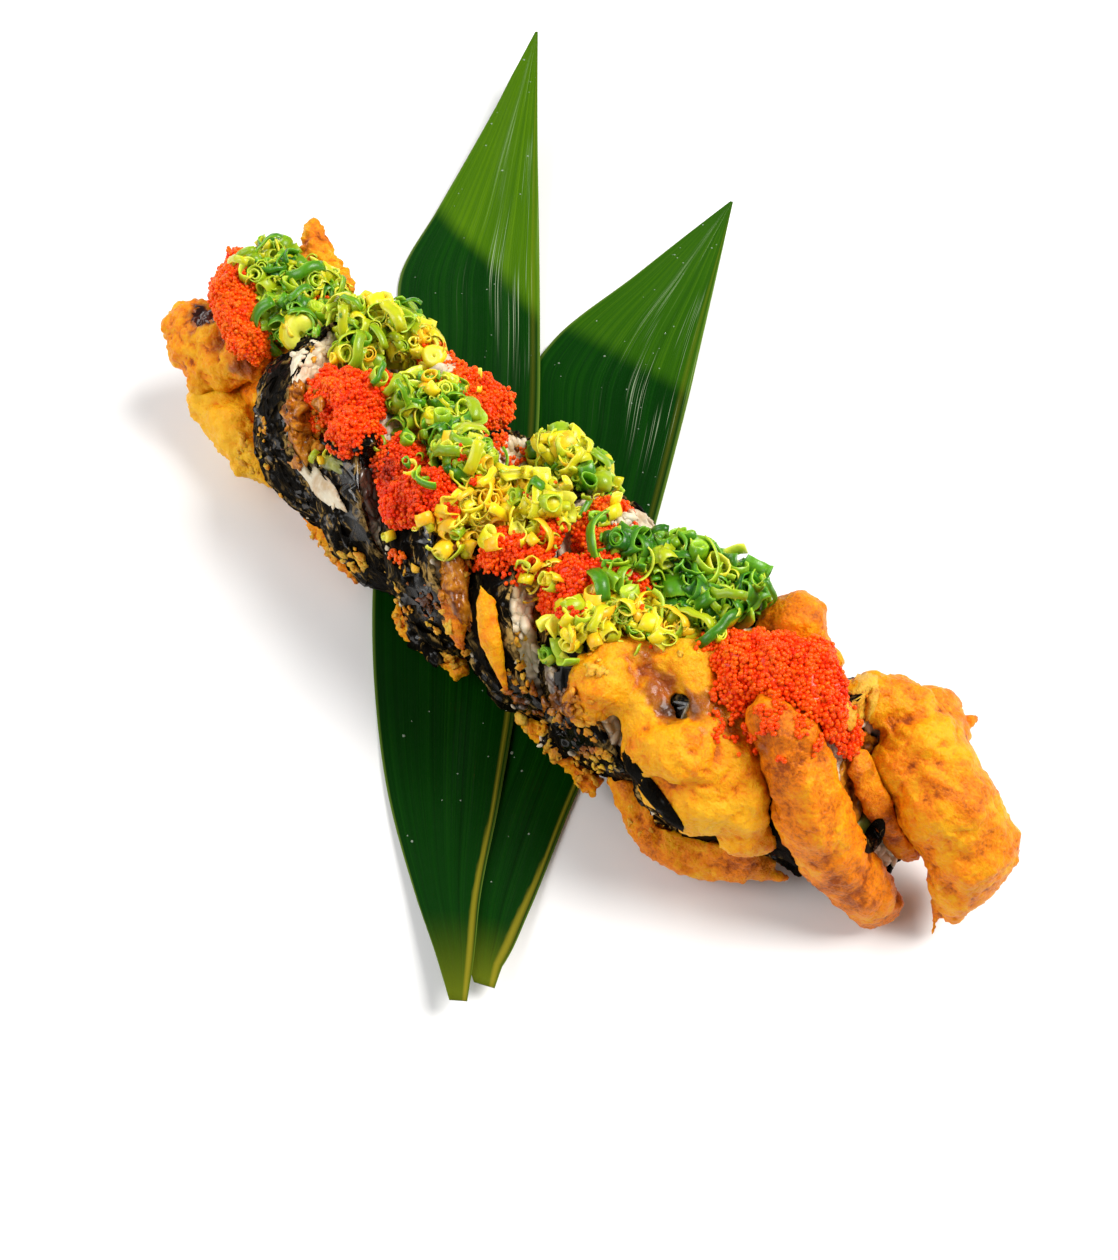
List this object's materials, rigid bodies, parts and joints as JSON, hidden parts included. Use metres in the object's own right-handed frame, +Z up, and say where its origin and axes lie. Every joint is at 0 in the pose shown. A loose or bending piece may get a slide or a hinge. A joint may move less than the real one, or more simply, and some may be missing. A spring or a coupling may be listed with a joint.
{
  "type": "crab futomaki",
  "caption": "Fanned row of thick nori roll slices with fried crab bursting from both ends, topped with roe and cut scallion, on two pointed leaf blades.",
  "frame": {"origin": "middle of the whole object's box, on the surface that it rests on", "axes": "+X along the row of slices towards the big crab claw, +Y across the row towards the leaf tips, +Z up"},
  "size_m": [0.3126, 0.2882, 0.0671],
  "materials": {
    "nori": "moist, wrinkled, glossy where sauced",
    "rice": "sticky short grains",
    "filling": "fried, moist",
    "avocado": "soft, satin",
    "batter": "crisp golden crust",
    "roe": "wet beads",
    "scallion": "wet cut rings",
    "leaf": "waxy, finely veined"
  },
  "bodies": {
    "root": {"nori_1": "nori", "nori_2": "nori", "nori_3": "nori", "nori_4": "nori", "nori_5": "nori", "nori_6": "nori", "nori_7": "nori", "rice_1": "rice", "rice_2": "rice", "rice_3": "rice", "rice_4": "rice", "rice_5": "rice", "rice_6": "rice", "rice_7": "rice", "crab_filling_1": "filling", "crab_filling_2": "filling", "crab_filling_3": "filling", "crab_filling_4": "filling", "crab_filling_5": "filling", "crab_filling_6": "filling", "crab_filling_7": "filling", "avocado_1": "avocado", "avocado_2": "avocado", "avocado_3": "avocado", "avocado_4": "avocado", "avocado_5": "avocado", "avocado_6": "avocado", "avocado_7": "avocado", "crab_body": "batter", "crab_leg": "batter", "crab_claw": "batter", "crab_inner_leg": "batter", "crab_knob": "batter", "crab_flap": "batter", "crab_tail_high": "batter", "crab_tail_low": "batter", "crab_tail_core": "batter", "crab_tail_spike": "batter", "crab_bit_middle": "batter", "crab_bit_low": "batter", "crust_first": "batter", "crust_middle": "batter", "crust_last": "batter", "roe_tail": "roe", "roe_second": "roe", "roe_third": "roe", "roe_far": "roe", "roe_middle": "roe", "roe_ridge": "roe", "roe_fifth": "roe", "roe_mound": "roe", "scallion_first": "scallion", "scallion_second": "scallion", "scallion_third": "scallion", "scallion_fourth": "scallion", "scallion_far": "scallion", "scallion_fifth": "scallion", "scallion_last": "scallion", "leaf_left": "leaf", "leaf_right": "leaf"}
  },
  "joints": []
}
